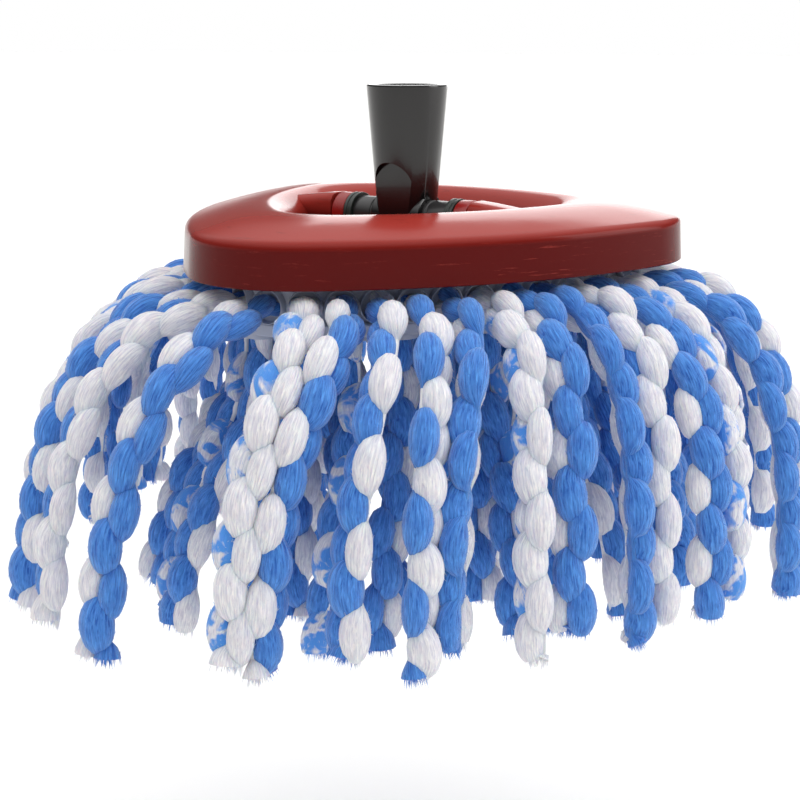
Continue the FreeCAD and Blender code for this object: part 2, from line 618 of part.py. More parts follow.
def rope_tube(points, diameter):
    """A round tube along straight runs joined by the largest tangent arcs their lengths allow."""
    edges = []
    radii = []
    here = points[0]
    for before, corner, after in zip(points, points[1:], points[2:]):
        into = (corner - before).normalize()
        out = (after - corner).normalize()
        turn = into.getAngle(out)
        reach = 0.45 * min(before.distanceToPoint(corner), corner.distanceToPoint(after))
        radii.append(reach / math.tan(turn / 2))
        start = corner - into * reach
        end = corner + out * reach
        middle = corner + (out - into).normalize() * (radii[-1] / math.cos(turn / 2) - radii[-1])
        edges.append(Part.LineSegment(here, start).toShape())
        edges.append(Part.Arc(start, middle, end).toShape())
        here = end
    edges.append(Part.LineSegment(here, points[-1]).toShape())
    path = Part.Wire(edges)
    ring = Part.Circle(points[0], points[1] - points[0], diameter / 2).toShape()
    tube = path.makePipeShell([Part.Wire(ring)], True, False)
    ideal = math.pi * (diameter / 2) ** 2 * path.Length
    assert abs(tube.Volume / ideal - 1) < 0.01, (tube.Volume, ideal)
    return tube, min(radii), path.Length


def make_ropes():
    nodes = []
    tightest = []
    lengths = []

    def tube(points):
        solid, radius, length = rope_tube(points, size("rope_diameter"))
        tightest.append(radius)
        lengths.append(length)
        return solid

    level = clamp_top + size("top_rope_lift")
    for k in range(TOP_ROPES):
        share = (k + 0.5) / TOP_ROPES
        x, y, heading = outline_station(size("drum_inset"), share)
        spread = outline_station(-size("top_spread"), share)
        runs = TOP_RUNS + [(TOP_ENDS[k], TOP_END_PITCH)]
        points = route_of(x, y, level, heading, runs, spread, TOP_DROOP[k], TOP_LEAN[k])
        nodes.append(shape_node(f"top_rope_{k + 1:02d}", tube(points)))
    groups = [[], [], []]
    for k in range(SECOND_ROPES):
        share = (k + 0.5) / SECOND_ROPES
        x, y, heading = outline_station(size("second_rope_inset"), share)
        spread = outline_station(-size("second_spread"), share)
        points = route_of(x, y, clamp_foot, heading, SECOND_RUNS, spread, SECOND_DROOP[k],
                          SECOND_LEAN[k])
        groups[3 * k // SECOND_ROPES].append(tube(points))
    for i, group in enumerate(groups, start=1):
        nodes.append(shape_node(f"second_ropes_{i}", Part.Compound(group)))
    outward, inward = [], []
    for k in range(INNER_PLACES):
        if k % SCREW_EVERY == SCREW_EVERY - 1:
            continue
        x, y, heading = outline_station(size("inner_rope_inset"), (k + 0.5) / INNER_PLACES)
        runs, group = ((INNER_RUNS_OUT, outward), (INNER_RUNS_IN, inward))[k % 2]
        group.append(tube(route_of(x, y, clamp_foot, heading, runs)))
    nodes.append(shape_node("inner_ropes_outward", Part.Compound(outward)))
    nodes.append(shape_node("inner_ropes_inward", Part.Compound(inward)))
    print(f"ropes: {len(lengths)}, lengths {min(lengths):.0f} to {max(lengths):.0f} mm, "
          f"tightest bend {min(tightest):.0f} mm")
    return nodes


# ---------------------------------------------------------------- build, check and write
nodes = [
    make_handle_socket(),
    make_hinge_shaft(),
    make_collar("collar_left", -1),
    make_collar("collar_right", 1),
    make_top_plate(),
    make_bearing("bearing_left", -1),
    make_bearing("bearing_right", 1),
    make_bearing_screws(),
    make_refill_ring(),
    make_clamp_ring(),
    make_clamp_screws(),
]
nodes += make_ropes()
doc.recompute()

failed = [thing.Name for thing in doc.Objects
          if "Invalid" in thing.State or "Error" in thing.State]
assert not failed, failed
solids = {"bearing_screws": 4, "clamp_screws": CLAMP_SCREWS,
          "inner_ropes_outward": INNER_PLACES // 2, "inner_ropes_inward": INNER_PLACES // 4,
          **{f"second_ropes_{i}": SECOND_ROPES // 3 for i in (1, 2, 3)}}
for node in nodes:
    shape = node.Shape
    assert not shape.isNull() and shape.isValid(), node.Label
    assert len(shape.Solids) == solids.get(node.Label, 1), (node.Label, len(shape.Solids))

os.makedirs("parts", exist_ok=True)
for node in nodes:
    node.Shape.exportStep(f"parts/{node.Label}.step")
    print(f"{node.Label}: {node.Shape.Volume:.0f} mm3")
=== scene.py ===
import math
import random

import bmesh
import bpy
from mathutils import Matrix, Vector


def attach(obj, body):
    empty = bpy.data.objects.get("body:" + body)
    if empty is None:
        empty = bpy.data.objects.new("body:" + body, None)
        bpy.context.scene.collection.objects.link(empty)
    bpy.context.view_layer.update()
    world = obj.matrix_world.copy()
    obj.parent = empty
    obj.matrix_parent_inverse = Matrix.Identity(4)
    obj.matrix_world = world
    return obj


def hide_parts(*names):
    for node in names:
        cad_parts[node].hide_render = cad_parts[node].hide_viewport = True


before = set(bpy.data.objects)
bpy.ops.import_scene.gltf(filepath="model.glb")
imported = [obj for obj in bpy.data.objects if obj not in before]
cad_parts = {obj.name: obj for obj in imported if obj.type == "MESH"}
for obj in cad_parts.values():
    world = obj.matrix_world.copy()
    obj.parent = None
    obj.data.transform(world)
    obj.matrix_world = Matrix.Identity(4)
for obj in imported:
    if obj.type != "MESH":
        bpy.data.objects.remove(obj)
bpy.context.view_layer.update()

# ---------------------------------------------------------------- handle socket
# The black T-piece that takes the 22 mm handle tube. It is moulded in glass-filled polypropylene with
# a polished outside, cored from above, and two arched flats let it stand between the window's edges.
MM = 0.001
HINGE_Z = -47 * MM


def linear(code):
    """A hex sRGB colour as the linear colour that a shader socket takes."""
    parts = [int(code[i:i + 2], 16) / 255 for i in (1, 3, 5)]
    return tuple(c / 12.92 if c <= 0.04045 else ((c + 0.055) / 1.055) ** 2.4 for c in parts) + (1.0,)


def add_node(tree, kind, settings=None, links=None):
    """A node with its settings and links: a key of links is a socket here, its value one elsewhere."""
    node = tree.nodes.new(kind)
    for key, value in (settings or {}).items():
        if isinstance(key, str) and hasattr(node, key) and key not in node.inputs:
            setattr(node, key, value)
        else:
            node.inputs[key].default_value = value
    for key, socket in (links or {}).items():
        tree.links.new(socket, node.inputs[key])
    return node


def new_material(name, colour, **sockets):
    """A material, its node tree and its Principled shader with the uniform values set on it."""
    material = bpy.data.materials.new(name)
    material.use_nodes = True
    tree = material.node_tree
    shader = tree.nodes["Principled BSDF"]
    shader.inputs["Base Color"].default_value = linear(colour)
    for key, value in sockets.items():
        shader.inputs[key.replace("_", " ")].default_value = value
    return material, tree, shader


def moulded_skin(tree, shader, ripple_mm, depth_mm, roughness, spread):
    """The faint waviness and uneven polish that a steel mould leaves on a plastic surface."""
    place = add_node(tree, "ShaderNodeTexCoord")
    ripple = add_node(tree, "ShaderNodeTexNoise", {"Scale": 1 / (ripple_mm * MM), "Detail": 2.0},
                      {"Vector": place.outputs["Object"]})
    bump = add_node(tree, "ShaderNodeBump", {"Strength": 0.5, "Distance": depth_mm * MM},
                    {"Height": ripple.outputs["Fac"]})
    tree.links.new(bump.outputs["Normal"], shader.inputs["Normal"])
    polish = add_node(tree, "ShaderNodeTexNoise", {"Scale": 1 / (18 * MM), "Detail": 5.0},
                      {"Vector": place.outputs["Object"]})
    gloss = add_node(tree, "ShaderNodeMapRange",
                     {"To Min": roughness - spread, "To Max": roughness + spread},
                     {"Value": polish.outputs["Fac"]})
    tree.links.new(gloss.outputs["Result"], shader.inputs["Roughness"])
    return place


def softened(outline, radius, steps=4):
    """The outline of (a, b) points with each corner rounded off by up to radius."""
    corners = [Vector(p) for p in outline]
    result = []
    for before, corner, after in zip(corners[-1:] + corners[:-1], corners, corners[1:] + corners[:1]):
        into = before - corner
        out = after - corner
        reach = min(radius, into.length * 0.45, out.length * 0.45)
        start = corner + into.normalized() * reach
        end = corner + out.normalized() * reach
        for i in range(steps + 1):
            t = i / steps
            result.append((1 - t) ** 2 * start + 2 * t * (1 - t) * corner + t * t * end)
    return result


def turned(outline, axis="Z", centre=(0, 0, 0), segments=96):
    """A bmesh of a closed outline of (radius, place) points, in mm, spun once round an axis."""
    bm = bmesh.new()
    across = {"Z": Vector((1, 0, 0)), "X": Vector((0, 1, 0))}[axis]
    along = {"Z": Vector((0, 0, 1)), "X": Vector((1, 0, 0))}[axis]
    centre = Vector(centre)
    ring = [bm.verts.new(centre + (across * max(r, 0) + along * a) * MM) for r, a in outline]
    edges = [bm.edges.new(pair) for pair in zip(ring, ring[1:] + ring[:1])]
    bmesh.ops.spin(bm, geom=ring + edges, cent=centre, axis=along, angle=math.tau,
                   steps=segments, use_merge=True)
    bmesh.ops.remove_doubles(bm, verts=bm.verts, dist=1e-6)
    bmesh.ops.dissolve_degenerate(bm, edges=bm.edges, dist=1e-7)
    bmesh.ops.recalc_face_normals(bm, faces=bm.faces)
    return bm


def loose_object(name, bm):
    """An object of a bmesh, which is freed."""
    mesh = bpy.data.meshes.new(name)
    bm.to_mesh(mesh)
    bm.free()
    thing = bpy.data.objects.new(name, mesh)
    bpy.context.scene.collection.objects.link(thing)
    return thing


def joined(bm, piece):
    """Copies another bmesh into bm, frees it and returns the new vertices."""
    known = set(bm.verts)
    mesh = bpy.data.meshes.new("piece")
    piece.to_mesh(mesh)
    piece.free()
    bm.from_mesh(mesh)
    return [v for v in bm.verts if v not in known]


def carved(bm, cuts):
    """A bmesh joined with or cut by others: cuts is a list of (UNION or DIFFERENCE, bmesh)."""
    blank = loose_object("blank", bm)
    tools = []
    for operation, tool in cuts:
        tools.append(loose_object("tool", tool))
        step = blank.modifiers.new("cut", "BOOLEAN")
        step.operation = operation
        step.solver = "EXACT"
        step.object = tools[-1]
    result = bpy.data.meshes.new_from_object(
        blank.evaluated_get(bpy.context.evaluated_depsgraph_get()))
    carved_bm = bmesh.new()
    carved_bm.from_mesh(result)
    for thing in [blank] + tools:
        bpy.data.objects.remove(thing)
    return carved_bm


def place_piece(name, bm, material, body, nodes, sharp=32):
    """The finished piece: smooth but for its sharp edges, riding on its body for its CAD nodes."""
    piece = loose_object(name, bm)
    piece.data.shade_smooth()
    piece.data.set_sharp_from_angle(angle=math.radians(sharp))
    piece.data.materials.append(material)
    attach(piece, body)
    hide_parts(*nodes)


def box(low, high):
    """A bmesh box between two corners in mm."""
    bm = bmesh.new()
    bmesh.ops.create_cube(bm, size=1)
    low, high = Vector(low) * MM, Vector(high) * MM
    bmesh.ops.scale(bm, vec=high - low, verts=bm.verts)
    bmesh.ops.translate(bm, vec=(low + high) / 2, verts=bm.verts)
    return bm


mouth_r, neck_r, bore_r, core_r = 14.5, 10.5, 11.05, 8.4
boss_r, boss_half, barrel_r = 8.6, 10.4, 6.4
seat_z, core_z, neck_z = -22, -36, -47
arch_r, arch_z = 8, -35
fit = 0.05
socket = turned(softened([(bore_r, 0), (bore_r, seat_z), (core_r, seat_z), (core_r, core_z),
                          (0, core_z), (0, neck_z), (neck_r, neck_z), (mouth_r, 0)], 0.7),
                segments=128)
boss = turned(softened([(0, -boss_half), (boss_r, -boss_half), (boss_r, boss_half), (0, boss_half)],
                       0.8), "X", (0, 0, HINGE_Z), 96)
flats = []
for side in (-1, 1):
    arch = bmesh.new()
    bmesh.ops.create_cone(arch, cap_ends=True, segments=64, radius1=arch_r * MM,
                          radius2=arch_r * MM, depth=14 * MM)
    bmesh.ops.rotate(arch, verts=arch.verts, matrix=Matrix.Rotation(math.pi / 2, 3, "X"))
    bmesh.ops.translate(arch, verts=arch.verts, vec=(0, side * (boss_r + 7) * MM, arch_z * MM))
    flats.append(("DIFFERENCE", arch))
    near, far = sorted((side * boss_r, side * (boss_r + 14)))
    flats.append(("DIFFERENCE", box((-arch_r, near, -56), (arch_r, far, arch_z))))
shaft_bore = turned([(0, -20), (barrel_r + fit, -20), (barrel_r + fit, 20), (0, 20)], "X",
                    (0, 0, HINGE_Z), 96)
socket = carved(socket, [("UNION", boss), *flats, ("DIFFERENCE", shaft_bore)])
black, tree, shader = new_material("polypropylene_black_moulded", "#0d0a0b", Roughness=0.2,
                                   Specular_IOR_Level=0.5, Coat_Weight=0.3, Coat_Roughness=0.06)
moulded_skin(tree, shader, 7.0, 0.05, 0.2, 0.05)
place_piece("socket_moulding", socket, black, "socket", ["handle_socket"], 28)

# ---------------------------------------------------------------- cross shaft
# One grey acetal bar, turned down to a journal at each end and pressed through the socket's boss. It
# has been handled and rubbed by the collars, so its polish is uneven round the barrel.
JOURNAL_R, JOURNAL_END, BARREL_HALF = 4, 29.0, 20
groove_r = barrel_r - 0.35
half_shaft = [(barrel_r, 11.6), (groove_r, 11.8), (groove_r, 12.4), (barrel_r, 12.6),
              (barrel_r, BARREL_HALF), (JOURNAL_R, BARREL_HALF), (JOURNAL_R, JOURNAL_END),
              (0, JOURNAL_END)]
shaft = turned(softened([(r, -a) for r, a in reversed(half_shaft)] + half_shaft, 0.4, 3),
               "X", (0, 0, HINGE_Z), 72)
grey, tree, shader = new_material("acetal_grey_turned", "#2c2b2c", Roughness=0.3)
moulded_skin(tree, shader, 5.0, 0.03, 0.3, 0.07)
place_piece("cross_shaft", shaft, grey, "socket", ["hinge_shaft"])

# ---------------------------------------------------------------- collars
# Two loose spacer rings of dark green-grey nylon on the journals, each with a shallow groove round
# its middle. They take the side thrust between the shaft's barrel and the bearings.
nylon, tree, shader = new_material("nylon_spacer_moulded", "#2b322e", Roughness=0.38)
moulded_skin(tree, shader, 3.0, 0.03, 0.38, 0.06)
eye_r, collar_r, groove_r = JOURNAL_R + fit, 7.6, 7.2
for name, side in (("collar_left", -1), ("collar_right", 1)):
    ring = turned(softened([(eye_r, 20.0), (collar_r, 20.0), (collar_r, 21.2), (groove_r, 21.4),
                            (groove_r, 22.0), (collar_r, 22.2), (collar_r, 23.4), (eye_r, 23.4)],
                           0.3, 3), "X", (0, 0, HINGE_Z), 72)
    if side < 0:
        bmesh.ops.scale(ring, vec=(-1, 1, 1), verts=ring.verts)
        bmesh.ops.recalc_face_normals(ring, faces=ring.faces)
    place_piece(name + "_ring", ring, nylon, "socket", [name])

# ---------------------------------------------------------------- top plate
# The red shell is one thin moulding in ABS: a flared skirt, a crowned top and a central dish with a
# window for the boss. Half-round fairings outside the bearings run up the dish wall on both sides.
# Its crowned top is painted a lighter red than its skirt and dish floor, as painted light from above.
RIM_Z = -45.5
CROWN = 5.2
FLOOR = -7.4
WALL = 2.2
CORNER_OFFSET, CORNER_RADIUS, SIDE_RADIUS = 60.0, 38.0, 190.0
SKIRT = 15.0
SHOULDER = 0.6
LIP_RATIO, FOOT_RATIO, FLOOR_RATIO = 0.645, 0.40, 0.42
WINDOW = (23.5, 12.0)
FAIRING_HALF, FAIRING_ROUND = 6.6, 4.0


def outline_arcs(offset, corner, side):
    """Centre, radius, start and end angle of the outline's six tangent arcs."""
    half_side = math.asin(offset * math.sin(math.pi / 3) / (side - corner))
    half_corner = math.pi / 3 - half_side
    reach = (side - corner) * math.cos(half_side) - offset / 2
    arcs = []
    for k in range(3):
        at = math.radians(30 + 120 * k)
        middle = at + math.pi / 3
        arcs.append(((offset * math.cos(at), offset * math.sin(at)), corner,
                     at - half_corner, at + half_corner))
        arcs.append(((-reach * math.cos(middle), -reach * math.sin(middle)), side,
                     middle - half_side, middle + half_side))
    return arcs


def outline_at(heading, ratio=1.0, inset=0.0):
    """The point of the scaled and inset outline whose outward normal has that heading."""
    arcs = outline_arcs(CORNER_OFFSET * ratio, CORNER_RADIUS * ratio - inset,
                        SIDE_RADIUS * ratio - inset)
    first = arcs[0][2]
    turn = first + (heading - first) % math.tau
    for centre, radius, start, end in arcs:
        if turn <= end + 1e-9:
            return Vector((centre[0] + radius * math.cos(turn), centre[1] + radius * math.sin(turn)))
    raise ValueError(heading)


def outline_station(inset, fraction):
    """A point of the inset outline and its outward heading, by the share of the way round."""
    arcs = outline_arcs(CORNER_OFFSET, CORNER_RADIUS - inset, SIDE_RADIUS - inset)
    lengths = [radius * (end - start) for _, radius, start, end in arcs]
    way = (fraction % 1.0) * sum(lengths)
    for (centre, radius, start, end), length in zip(arcs, lengths):
        if way <= length:
            angle = start + way / radius
            return (centre[0] + radius * math.cos(angle), centre[1] + radius * math.sin(angle), angle)
        way -= length
    raise ValueError(fraction)


def skinned(bm, loops, closed=False, caps=False):
    """Bridges closed loops of points in mm one after the other; caps fills the first and last."""
    rings = []
    for loop in loops:
        ring = [bm.verts.new(Vector(p) * MM) for p in loop]
        rings.append([bm.edges.new(pair) for pair in zip(ring, ring[1:] + ring[:1])])
    pairs = list(zip(rings, rings[1:]))
    if closed:
        pairs.append((rings[-1], rings[0]))
    for first, second in pairs:
        bmesh.ops.bridge_loops(bm, edges=first + second)
    if caps:
        for ring in (rings[0], rings[-1]):
            bmesh.ops.contextual_create(bm, geom=ring)
    return bm


HEADINGS = [math.tau * i / 288 for i in range(288)]


def level_loop(height, ratio=1.0, inset=0.0):
    return [(*outline_at(a, ratio, inset), RIM_Z + height) for a in HEADINGS]


def between(loop_a, loop_b, share, height):
    """A loop part of the way from one to another, at its own height over the rim."""
    return [(*(Vector(a[:2]).lerp(Vector(b[:2]), share)), RIM_Z + height)
            for a, b in zip(loop_a, loop_b)]


def window_loop(height, grow=0.0):
    """The window's rim, met by a line from the middle to each point of the dish floor's edge."""
    loop = []
    for x, y in (outline_at(a, FLOOR_RATIO) for a in HEADINGS):
        share = min((WINDOW[0] + grow) / max(abs(x), 1e-6), (WINDOW[1] + grow) / max(abs(y), 1e-6))
        loop.append((x * share, y * share, RIM_Z + height))
    return loop


shell = [level_loop(-SKIRT, inset=0.6), level_loop(-SKIRT, inset=-0.7),
         level_loop(-SKIRT + 0.3, inset=-1.0)]
shell += [level_loop(h, inset=h / SKIRT) for h in (-13.0, -10.0, -6.0, -3.2)]
round_start, round_end = Vector((-0.15, -2.3)), Vector((2.5, SHOULDER))
for i in range(9):
    t = i / 8
    point = (1 - t) ** 2 * round_start + t * t * round_end
    shell.append(level_loop(point.y, inset=point.x))
shoulder, lip = level_loop(SHOULDER, inset=2.5), level_loop(CROWN, LIP_RATIO)
for i in range(1, 12):
    t = i / 12
    rise = (CROWN - SHOULDER) * math.sin(t * math.pi / 2)
    shell.append(between(shoulder, lip, t, SHOULDER + rise))
foot = level_loop(FLOOR, FOOT_RATIO)
for i in range(17):
    t = i / 16
    fall = t - math.sin(math.tau * t) / math.tau * 0.75
    shell.append(between(lip, foot, t, CROWN + (FLOOR - CROWN) * fall))
shell += [window_loop(FLOOR, 0.6), window_loop(FLOOR - 0.4), window_loop(FLOOR - WALL)]
under_floor = level_loop(FLOOR - WALL, FLOOR_RATIO, -WALL)
under_lip = level_loop(1.0, 0.66, -WALL)
for i in range(6):
    t = i / 5
    shell.append(between(under_floor, under_lip, t, FLOOR - WALL + (1.0 - FLOOR + WALL) * t))
shell += [level_loop(0.8, inset=12.0), level_loop(-1.6, inset=3.2), level_loop(-2.6, inset=WALL),
          level_loop(-SKIRT + 0.4, inset=1.3)]
plate = skinned(bmesh.new(), shell, closed=True)

for side in (-1, 1):
    sections = []
    for x, top in ((29.9, 7.0), (30.3, 7.2), (36, 6.7), (42, 6.0), (48, 5.3), (52.5, 4.7),
                   (54.4, 3.9), (56.0, 2.2)):
        share = min(max((x - 33.5) / 22.4, 0), 1)
        bottom = min(RIM_Z + FLOOR - 1.0 + 11.2 * share, -47 + top - 3.0)
        crest = -47 + top - FAIRING_ROUND
        profile = [(-FAIRING_HALF, bottom), (FAIRING_HALF, bottom)]
        for sign, first in ((1, 0), (-1, 90)):
            for i in range(9):
                angle = math.radians(first + 90 * i / 8)
                profile.append((sign * (FAIRING_HALF - FAIRING_ROUND)
                                + FAIRING_ROUND * math.cos(angle),
                                max(crest + FAIRING_ROUND * math.sin(angle), bottom)))
        sections.append([(side * x, y, z) for y, z in profile])
    skinned(plate, sections, caps=True)
bmesh.ops.remove_doubles(plate, verts=plate.verts, dist=1e-6)
bmesh.ops.recalc_face_normals(plate, faces=plate.faces)

red, tree, shader = new_material("abs_red_moulded", "#5c0a08", Roughness=0.16, IOR=1.5,
                                 Specular_IOR_Level=0.13)
place = moulded_skin(tree, shader, 9.0, 0.05, 0.17, 0.05)
scuffs = add_node(tree, "ShaderNodeMapping", {"Scale": (1.0, 1.0, 14.0), "Rotation": (0.1, 0.25, 0.6)},
                  {"Vector": place.outputs["Object"]})
scratch = add_node(tree, "ShaderNodeTexNoise", {"Scale": 1 / (16 * MM), "Detail": 8.0,
                                                "Roughness": 0.7},
                   {"Vector": scuffs.outputs["Vector"]})
lines = add_node(tree, "ShaderNodeMapRange", {"From Min": 0.60, "From Max": 0.68},
                 {"Value": scratch.outputs["Fac"]})
# Painted light: by height, the crowned top is painted a lighter red (#a0342c), while the skirt and the
# dish floor below z -48.5 mm keep the darker red (#5c0a08) as painted shade.
level = add_node(tree, "ShaderNodeSeparateXYZ", None, {"Vector": place.outputs["Object"]})
lit_top_mask = add_node(tree, "ShaderNodeMapRange", {"From Min": -48.5 * MM, "From Max": -44.5 * MM},
                 {"Value": level.outputs["Z"]})
painted_top_light = add_node(tree, "ShaderNodeMix", {"data_type": "RGBA", 6: linear("#5c0a08"),
                                         7: linear("#a0342c")},
                 {0: lit_top_mask.outputs["Result"]})
tint = add_node(tree, "ShaderNodeMix", {"data_type": "RGBA", 7: linear("#8e2f28")},
                {0: lines.outputs["Result"], 6: painted_top_light.outputs[2]})
tree.links.new(tint.outputs[2], shader.inputs["Base Color"])
place_piece("plate_shell", plate, red, "plate", ["top_plate"], 30)

# ---------------------------------------------------------------- hinge bearings
# Two red blocks on the dish floor that carry the journals. Each is moulded with a screwed foot, in a
# brighter self-coloured acetal than the plate.
coral, tree, shader = new_material("acetal_red_moulded", "#99120f", Roughness=0.28,
                                   Specular_IOR_Level=0.5)
moulded_skin(tree, shader, 4.0, 0.04, 0.28, 0.05)
hub_r, foot_half = 7.3, 13.0
floor_z = RIM_Z + FLOOR
foot_z = floor_z + 2.6
for name, side in (("bearing_left", -1), ("bearing_right", 1)):
    outline = [(-foot_half, floor_z), (foot_half, floor_z), (foot_half, foot_z), (hub_r, foot_z)]
    outline += [(hub_r * math.cos(math.radians(a)), -47 + hub_r * math.sin(math.radians(a)))
                for a in range(0, 181, 9)]
    outline += [(-hub_r, foot_z), (-foot_half, foot_z)]
    block = bmesh.new()
    rim = [block.verts.new((side * 23.7 * MM, y * MM, z * MM)) for y, z in outline]
    face = block.faces.new(rim)
    grown = bmesh.ops.extrude_face_region(block, geom=[face])
    bmesh.ops.translate(block, vec=(side * 5.4 * MM, 0, 0),
                        verts=[v for v in grown["geom"] if isinstance(v, bmesh.types.BMVert)])
    bmesh.ops.recalc_face_normals(block, faces=block.faces)
    corners = [e for e in block.edges if e.calc_face_angle(0) > math.radians(40)]
    bmesh.ops.bevel(block, geom=corners, offset=0.5 * MM, segments=3, affect="EDGES",
                    profile=0.5, material=-1)
    eye = turned([(0, -32), (eye_r, -32), (eye_r, 32), (0, 32)], "X", (0, 0, HINGE_Z), 48)
    block = carved(block, [("DIFFERENCE", eye)])
    place_piece(name + "_block", block, coral, "plate", [name])

# ---------------------------------------------------------------- screws
# Zinc-plated pan-head screws with a cross recess: four come up through the dish floor into the
# bearings, and six close the refill from below.
zinc, tree, shader = new_material("steel_zinc_plated", "#b9bab4", Metallic=1.0, Roughness=0.32)
place = add_node(tree, "ShaderNodeTexCoord")
spangle = add_node(tree, "ShaderNodeTexNoise", {"Scale": 1 / (1.2 * MM), "Detail": 4.0},
                   {"Vector": place.outputs["Object"]})
dull = add_node(tree, "ShaderNodeMapRange", {"To Min": 0.24, "To Max": 0.45},
                {"Value": spangle.outputs["Fac"]})
tree.links.new(dull.outputs["Result"], shader.inputs["Roughness"])


def pan_screws(places, shank_length):
    """Screws whose heads hang below their places, joined in one bmesh."""
    head = turned(softened([(0, -1.8), (1.9, -1.75), (2.8, -1.1), (2.8, 0), (1.5, 0),
                            (1.5, shank_length - 1), (1.1, shank_length), (0, shank_length)], 0.2, 2),
                  segments=32)
    cross = [box((-1.5, -0.28, -2.2), (1.5, 0.28, -0.9)), box((-0.28, -1.5, -2.2), (0.28, 1.5, -0.9))]
    one = carved(head, [("DIFFERENCE", slot) for slot in cross])
    group = bmesh.new()
    for place in places:
        fresh = joined(group, one.copy())
        bmesh.ops.translate(group, vec=Vector(place) * MM, verts=fresh)
    one.free()
    return group


bearing_places = [(side * 26.4, turn * 10.0, floor_z - WALL) for side in (-1, 1)
                  for turn in (-1, 1)]
place_piece("bearing_screw_set", pan_screws(bearing_places, 4.4), zinc, "plate",
            ["bearing_screws"])

# ---------------------------------------------------------------- refill ring
# The refill's own moulding, in pale grey polypropylene with a satin finish. Its flange snaps under the
# plate, and each rope of the outer row is crimped into a collar on its own flat of the drum wall.
TOP_ROPES, SECOND_ROPES, INNER_PLACES, SCREW_EVERY = 39, 27, 24, 4
RING_TOP = RIM_Z - 7.0
DRUM_TOP = RING_TOP - 2.4
CLAMP_TOP = DRUM_TOP - 19.2
CLAMP_FOOT = CLAMP_TOP - 4.0
DRUM_INSET, HOLE_INSET, DRUM_WALL = 17.0, 37, 3
ROPE_LEVEL = CLAMP_TOP + 5.8


def ring_loop(inset, z):
    return [(*outline_station(inset, i / 234)[:2], z) for i in range(234)]


def flat_loop(inset, z):
    """The inset outline with one straight side for each rope, six points to a side."""
    stations = [outline_station(inset, (k + 0.5) / TOP_ROPES) for k in range(TOP_ROPES)]
    corners = []
    for (x1, y1, a1), (x2, y2, a2) in zip(stations, stations[1:] + stations[:1]):
        d1 = x1 * math.cos(a1) + y1 * math.sin(a1)
        d2 = x2 * math.cos(a2) + y2 * math.sin(a2)
        turn = math.sin(a2 - a1)
        corners.append(Vector(((d1 * math.sin(a2) - d2 * math.sin(a1)) / turn,
                               (d2 * math.cos(a1) - d1 * math.cos(a2)) / turn, z)))
    loop = []
    for start, end in zip(corners[-1:] + corners[:-1], corners):
        loop += [start.lerp(end, i / 6) for i in range(6)]
    return loop


ring = skinned(bmesh.new(), [
    ring_loop(4.5, RING_TOP), ring_loop(HOLE_INSET - 0.3, RING_TOP),
    ring_loop(HOLE_INSET, RING_TOP - 0.3), ring_loop(HOLE_INSET, CLAMP_TOP),
    ring_loop(HOLE_INSET - DRUM_WALL, CLAMP_TOP), ring_loop(HOLE_INSET - DRUM_WALL, DRUM_TOP),
    ring_loop(DRUM_INSET + DRUM_WALL, DRUM_TOP), flat_loop(DRUM_INSET + DRUM_WALL, CLAMP_TOP),
    flat_loop(DRUM_INSET + 0.3, CLAMP_TOP), flat_loop(DRUM_INSET, CLAMP_TOP + 0.3),
    flat_loop(DRUM_INSET, DRUM_TOP - 0.6), ring_loop(DRUM_INSET - 0.6, DRUM_TOP),
    ring_loop(4.5, DRUM_TOP), ring_loop(4.2, DRUM_TOP + 0.3), ring_loop(4.2, RING_TOP - 0.3)],
    closed=True)


def add_collar(bm, x, y, z, out, outer, length):
    """A crimp collar round a rope's root, pointing along out."""
    inner = 5.5
    piece = turned(softened([(inner, -0.5), (outer, -0.5), (outer, length), (inner, length)], 0.4, 2),
                   segments=24)
    fresh = joined(bm, piece)
    bmesh.ops.rotate(bm, verts=fresh, matrix=Vector((0, 0, 1)).rotation_difference(out).to_matrix())
    bmesh.ops.translate(bm, verts=fresh, vec=Vector((x, y, z)) * MM)


for k in range(TOP_ROPES):
    x, y, heading = outline_station(DRUM_INSET, (k + 0.5) / TOP_ROPES)
    add_collar(ring, x, y, ROPE_LEVEL, Vector((math.cos(heading), math.sin(heading), 0)), 5.8, 3.2)
for k in range(3):
    x, y, heading = outline_station(8.0, k / 3)
    tongue = box((0, -7, RING_TOP - 0.5), (1.6, 7, RING_TOP + 4.4))
    bmesh.ops.bevel(tongue, geom=tongue.edges, offset=0.5 * MM, segments=2, affect="EDGES",
                    profile=0.5, material=-1)
    bmesh.ops.rotate(tongue, verts=tongue.verts, matrix=Matrix.Rotation(heading, 3, "Z"))
    bmesh.ops.translate(tongue, verts=tongue.verts, vec=Vector((x, y, 0)) * MM)
    joined(ring, tongue)
bmesh.ops.recalc_face_normals(ring, faces=ring.faces)
satin, tree, shader = new_material("polypropylene_grey_satin", "#b9bdc9", Roughness=0.42)
moulded_skin(tree, shader, 1.4, 0.05, 0.42, 0.06)
place_piece("refill_moulding", ring, satin, "refill", ["refill_ring"])

